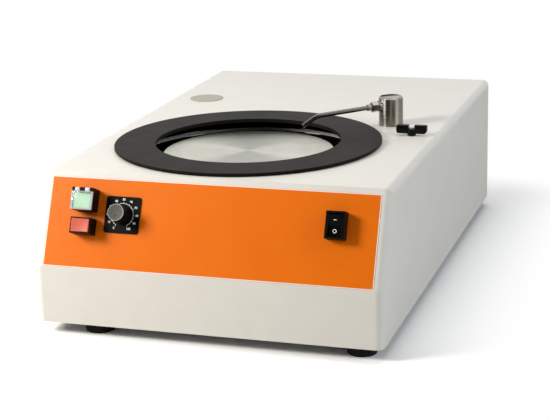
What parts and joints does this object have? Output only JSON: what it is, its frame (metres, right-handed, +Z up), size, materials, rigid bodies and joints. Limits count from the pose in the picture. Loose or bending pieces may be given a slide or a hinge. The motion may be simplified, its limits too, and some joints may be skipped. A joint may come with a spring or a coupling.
{
  "type": "metallographic polishing machine",
  "caption": "Low bench polishing machine with a round aluminium wheel in a black bowl, a splash ring, a swinging water nozzle and a sloping orange control panel.",
  "frame": {"origin": "middle of the machine's outline on the surface it stands on, halfway between the front face and the end of the drain spigot", "axes": "+X to the right seen from the front, +Y from the control panel to the rear, +Z up"},
  "size_m": [0.4, 0.668, 0.2145],
  "materials": {
    "housing": "satin off-white gel coat on moulded glass fibre",
    "rear_panel": "off-white powder coat",
    "base_plate": "zinc plated sheet, grey",
    "rubber_black": "matt black rubber",
    "screw_steel": "zinc plated",
    "nut_steel": "zinc plated",
    "bridge": "grey paint on folded sheet",
    "overlay_orange": "orange printed overlay with a satin film",
    "dial_black": "matt black plate",
    "bowl_black": "gloss black",
    "plug_grey": "grey-beige plastic",
    "cast_grey": "as cast, machined seats",
    "bearing_steel": "ground bearing steel",
    "motor_paint": "dark grey paint",
    "cast_aluminium": "die cast",
    "control_black": "black moulded plastic",
    "pot_steel": "pressed steel case",
    "board_green": "green circuit board with its parts",
    "brass": "machined brass",
    "hose_clear": "clear hose",
    "hose_grey": "grey drain hose",
    "spigot_black": "black plastic",
    "wire_black": "black cable sheath",
    "spindle_steel": "ground steel",
    "turned_aluminium": "satin turned aluminium",
    "pulley_aluminium": "machined aluminium",
    "ring_black": "black satin plastic",
    "armature": "laminated steel and copper",
    "lens_green": "pale green translucent plastic",
    "guard_clear": "clear plastic",
    "lens_red": "salmon red translucent plastic",
    "knob_black": "black moulded plastic",
    "cap_grey": "grey plastic",
    "rocker_black": "black plastic",
    "post_stainless": "polished stainless steel",
    "fitting_stainless": "stainless steel",
    "tube_stainless": "drawn stainless tube",
    "handle_black": "black moulded plastic",
    "gasket_grey": "grey sheet rubber"
  },
  "bodies": {
    "chassis": {"housing_shell": "housing", "rear_panel": "rear_panel", "base_plate": "base_plate", "foot_front_left": "rubber_black", "foot_front_right": "rubber_black", "foot_rear_left": "rubber_black", "foot_rear_right": "rubber_black", "m4_screws": "screw_steel", "m6_bolts": "screw_steel", "m10_nuts": "nut_steel", "m16_nuts": "nut_steel", "chassis_bridge": "bridge", "front_decal": "overlay_orange", "dial_plate": "dial_black", "bowl": "bowl_black", "bowl_gasket": "gasket_grey", "hole_plug": "plug_grey", "spindle_housing": "cast_grey", "bearing_outer_rings": "bearing_steel", "spindle_seal": "rubber_black", "drive_belt": "rubber_black", "motor_can": "motor_paint", "motor_end_bells": "cast_aluminium", "start_button_body": "control_black", "stop_button_body": "control_black", "speed_pot_body": "pot_steel", "power_switch_body": "control_black", "control_board": "board_green", "mains_inlet": "control_black", "water_inlet_barb": "brass", "water_hoses": "hose_clear", "water_valve": "brass", "post_stem": "brass", "drain_hose": "hose_grey", "drain_spigot": "spigot_black", "wiring_loom": "wire_black"},
    "wheel": {"spindle": "spindle_steel", "drive_plate": "turned_aluminium", "drive_pins": "bearing_steel", "bearing_inner_rings": "bearing_steel", "driven_pulley": "pulley_aluminium", "spindle_fasteners": "nut_steel"},
    "balls": {"bearing_balls": "bearing_steel"},
    "platen": {"platen": "turned_aluminium"},
    "splash_ring": {"splash_ring": "ring_black"},
    "rotor": {"motor_armature": "armature", "motor_pulley": "pulley_aluminium"},
    "start_cap": {"start_cap": "lens_green"},
    "start_guard": {"start_guard": "guard_clear"},
    "stop_cap": {"stop_cap": "lens_red"},
    "speed_control": {"speed_knob": "knob_black", "knob_cap": "cap_grey", "pot_shaft": "pot_steel"},
    "power_rocker": {"power_rocker": "rocker_black"},
    "nozzle": {"water_post": "post_stainless", "nozzle_fitting": "fitting_stainless", "nozzle_tube": "tube_stainless"},
    "valve": {"valve_stem": "nut_steel", "valve_handle": "handle_black"},
    "fuse_drawer": {"fuse_drawer": "control_black"}
  },
  "joints": [
    {"name": "wheel_spin", "type": "hinge", "parent": "chassis", "child": "wheel", "pos_m": [-0.0144, -0.1241, 0.1], "axis": [0, 0, 1], "continuous": true},
    {"name": "motor_spin", "type": "hinge", "parent": "chassis", "child": "rotor", "pos_m": [-0.0144, 0.0859, 0.1], "axis": [0, 0, 1], "continuous": true},
    {"name": "ball_orbit", "type": "hinge", "parent": "chassis", "child": "balls", "pos_m": [-0.0144, -0.1241, 0.063], "axis": [0, 0, 1], "continuous": true},
    {"name": "platen_lift", "type": "slide", "parent": "wheel", "child": "platen", "axis": [0, 0, 1], "range_m": [0, 0.012]},
    {"name": "ring_lift", "type": "slide", "parent": "chassis", "child": "splash_ring", "axis": [0, 0, 1], "range_m": [0, 0.012]},
    {"name": "speed_turn", "type": "hinge", "parent": "chassis", "child": "speed_control", "pos_m": [-0.1005, -0.31508, 0.14012], "axis": [0, 0.9094, -0.4159], "range_deg": [0, 300]},
    {"name": "switch_rock", "type": "hinge", "parent": "chassis", "child": "power_rocker", "pos_m": [0.1448, -0.31374, 0.14281], "axis": [-1, 0, 0], "range_deg": [0, 16]},
    {"name": "start_press", "type": "slide", "parent": "chassis", "child": "start_cap", "axis": [0, 0.9094, -0.4159], "range_m": [0, 0.0025], "stiffness_N_per_m": 300, "springref_m": -0.002},
    {"name": "stop_press", "type": "slide", "parent": "chassis", "child": "stop_cap", "axis": [0, 0.9094, -0.4159], "range_m": [0, 0.0025], "stiffness_N_per_m": 300, "springref_m": -0.002},
    {"name": "guard_flip", "type": "hinge", "parent": "chassis", "child": "start_guard", "pos_m": [-0.1431, -0.31586, 0.16654], "axis": [-1, 0, 0], "range_deg": [0, 110]},
    {"name": "nozzle_swing", "type": "hinge", "parent": "chassis", "child": "nozzle", "pos_m": [0.12875, 0.0035, 0.179], "axis": [0, 0, 1], "range_deg": [-78, 20]},
    {"name": "valve_turn", "type": "hinge", "parent": "chassis", "child": "valve", "pos_m": [0.1666, -0.049, 0.179], "axis": [0, 0, 1], "range_deg": [0, 90]},
    {"name": "fuse_slide", "type": "slide", "parent": "chassis", "child": "fuse_drawer", "axis": [0, 1, 0], "range_m": [0, 0.012]}
  ],
  "couplings": [
    {"joint": "motor_spin", "follows": "wheel_spin", "ratio": 2.5},
    {"joint": "ball_orbit", "follows": "wheel_spin", "ratio": 0.3815}
  ]
}
